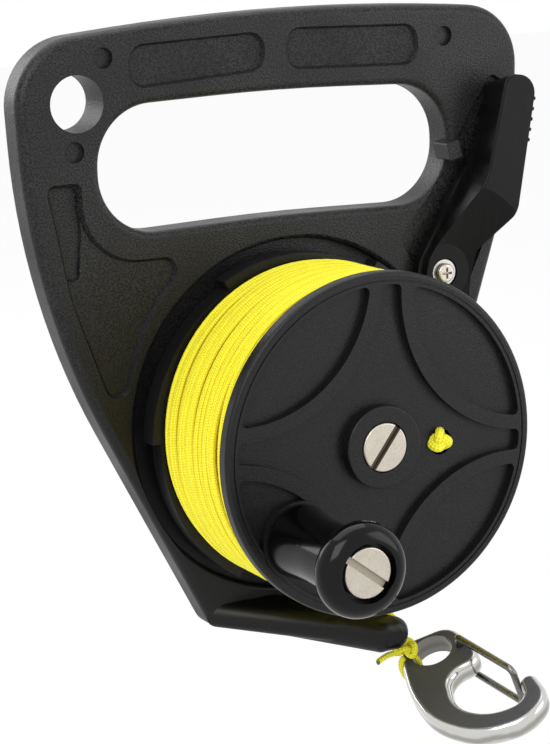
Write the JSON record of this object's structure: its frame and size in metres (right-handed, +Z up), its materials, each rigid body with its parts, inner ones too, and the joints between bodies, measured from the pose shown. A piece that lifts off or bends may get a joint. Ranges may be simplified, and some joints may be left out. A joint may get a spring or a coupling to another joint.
{
  "type": "dive reel",
  "caption": "Hand-held dive reel: flat handle frame, cranked spool of braided line on a ratchet, thumb lever, line guide foot and a snap hook on the line's end.",
  "frame": {"origin": "middle of the lanyard hole, in the plane of the frame's flat back", "axes": "-Y out of the crank side towards the user, +Z up along the frame's height, +X to the right as the user looks at the crank side"},
  "size_m": [0.1607, 0.0978, 0.2029],
  "materials": {
    "frame_black": "satin moulded plastic, fine grain in the pockets",
    "spool_black": "satin moulded plastic",
    "lever_black": "smooth moulded plastic",
    "knob_black": "polished moulded plastic",
    "washer_plastic": "low-friction plastic",
    "nickel_screw": "satin turned face",
    "plain_steel": "plain stainless",
    "polished_steel": "polished cast stainless",
    "yellow_line": "braided synthetic line"
  },
  "bodies": {
    "handle": {"frame": "frame_black", "axle_bolt": "nickel_screw", "axle_nut": "plain_steel", "axle_sleeve": "plain_steel", "head_washer": "plain_steel", "thrust_washer": "washer_plastic", "lever_screw": "nickel_screw", "lever_washer": "plain_steel", "lever_sleeve": "plain_steel", "lever_spring": "plain_steel", "line_run": "yellow_line", "line_knot": "yellow_line", "line_loop": "yellow_line", "line_tail": "yellow_line"},
    "spool": {"ratchet_disc": "spool_black", "drum": "spool_black", "front_flange": "spool_black", "wound_line_core": "yellow_line", "wound_line": "yellow_line", "anchor_knot": "yellow_line", "knob_spindle": "plain_steel", "knob_screw": "nickel_screw"},
    "crank_knob": {"knob": "knob_black"},
    "lever": {"thumb_lever": "lever_black"},
    "hook": {"snap_hook": "polished_steel"},
    "gate": {"snap_gate": "polished_steel"}
  },
  "joints": [
    {"name": "spool_turn", "type": "hinge", "parent": "handle", "child": "spool", "pos_m": [0.0642, -0.038, -0.0943], "axis": [0, -1, 0], "continuous": true},
    {"name": "knob_turn", "type": "hinge", "parent": "spool", "child": "crank_knob", "pos_m": [0.0375, -0.079, -0.11646], "axis": [0, -1, 0], "continuous": true},
    {"name": "lever_press", "type": "hinge", "parent": "handle", "child": "lever", "pos_m": [0.11267, -0.016, -0.05711], "axis": [0, -1, 0], "range_deg": [0, 5], "stiffness_Nm_per_rad": 0.08, "springref_deg": -17.19},
    {"name": "hook_swing", "type": "hinge", "parent": "handle", "child": "hook", "pos_m": [0.08669, -0.03659, -0.16905], "axis": [-0.288, -0.9036, -0.3172], "range_deg": [-70, 40]},
    {"name": "gate_open", "type": "hinge", "parent": "hook", "child": "gate", "pos_m": [0.09924, -0.04507, -0.1645], "axis": [0.4316, 0.1733, -0.8853], "range_deg": [0, 20], "stiffness_Nm_per_rad": 0.01, "springref_deg": -17.19}
  ]
}
